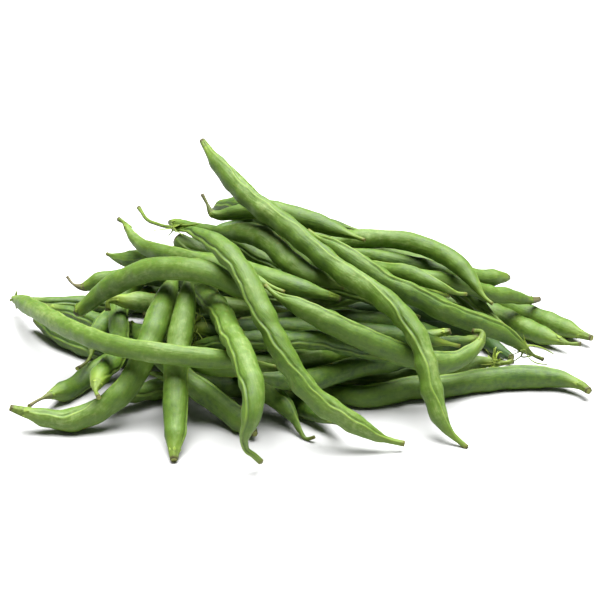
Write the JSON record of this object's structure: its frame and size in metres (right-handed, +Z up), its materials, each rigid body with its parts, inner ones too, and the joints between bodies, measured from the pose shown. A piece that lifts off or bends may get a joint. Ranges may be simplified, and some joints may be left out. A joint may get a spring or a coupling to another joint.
{
  "type": "green bean bundle",
  "caption": "Loose untied heap of long, slender, fresh green bean pods with cut stems, pale calyx collars and pointed beaks, lying crossed over one another.",
  "frame": {"origin": "on the surface the heap lies on, under the middle of the heap", "axes": "+X to the right along the heap's longest extent, +Y to the heap's back slope, +Z up off the surface"},
  "size_m": [0.2334, 0.1686, 0.0784],
  "materials": {
    "bean_pod": "satin waxy pod skin"
  },
  "bodies": {
    "root": {"bean_ground_front": "bean_pod", "bean_ground_front_left": "bean_pod", "bean_ground_front_right": "bean_pod", "bean_ground_frayed_right": "bean_pod", "bean_lower_right": "bean_pod", "bean_lower_middle": "bean_pod", "bean_ground_left_low": "bean_pod", "bean_ground_left_middle": "bean_pod", "bean_ground_left_high": "bean_pod", "bean_ground_right_low": "bean_pod", "bean_ground_right_high": "bean_pod", "bean_ground_cut_right": "bean_pod", "bean_core_01": "bean_pod", "bean_core_02": "bean_pod", "bean_core_03": "bean_pod", "bean_core_04": "bean_pod", "bean_back_low_left": "bean_pod", "bean_back_low_right": "bean_pod", "bean_back_middle_left": "bean_pod", "bean_back_leaning": "bean_pod", "bean_left_thin_stem": "bean_pod", "bean_left_facing": "bean_pod", "bean_left_hanging_stem": "bean_pod", "bean_left_curled_stem": "bean_pod", "bean_left_corner": "bean_pod", "bean_left_toward_front": "bean_pod", "bean_left_dark_stem": "bean_pod", "bean_left_upper": "bean_pod", "bean_left_flared_stem": "bean_pod", "bean_left_round_end": "bean_pod", "bean_front_crossing": "bean_pod", "bean_front_hooked": "bean_pod", "bean_front_under_crossing": "bean_pod", "bean_front_frayed": "bean_pod", "bean_middle_low": "bean_pod", "bean_middle_dark": "bean_pod", "bean_middle_narrow": "bean_pod", "bean_front_star": "bean_pod", "bean_front_tail": "bean_pod", "bean_right_blunt": "bean_pod", "bean_right_grey_tail": "bean_pod", "bean_right_inner": "bean_pod", "bean_right_bright": "bean_pod", "bean_right_second": "bean_pod", "bean_crest_cross": "bean_pod", "bean_crest_arch_under": "bean_pod", "bean_crest_back_low": "bean_pod", "bean_crest_back": "bean_pod", "bean_crest_round_end": "bean_pod", "bean_crest_hump": "bean_pod", "bean_crest_arch": "bean_pod", "bean_front_curled": "bean_pod", "bean_top_right": "bean_pod", "bean_top_torn": "bean_pod", "bean_top_front": "bean_pod", "bean_top_leaning": "bean_pod"}
  },
  "joints": []
}
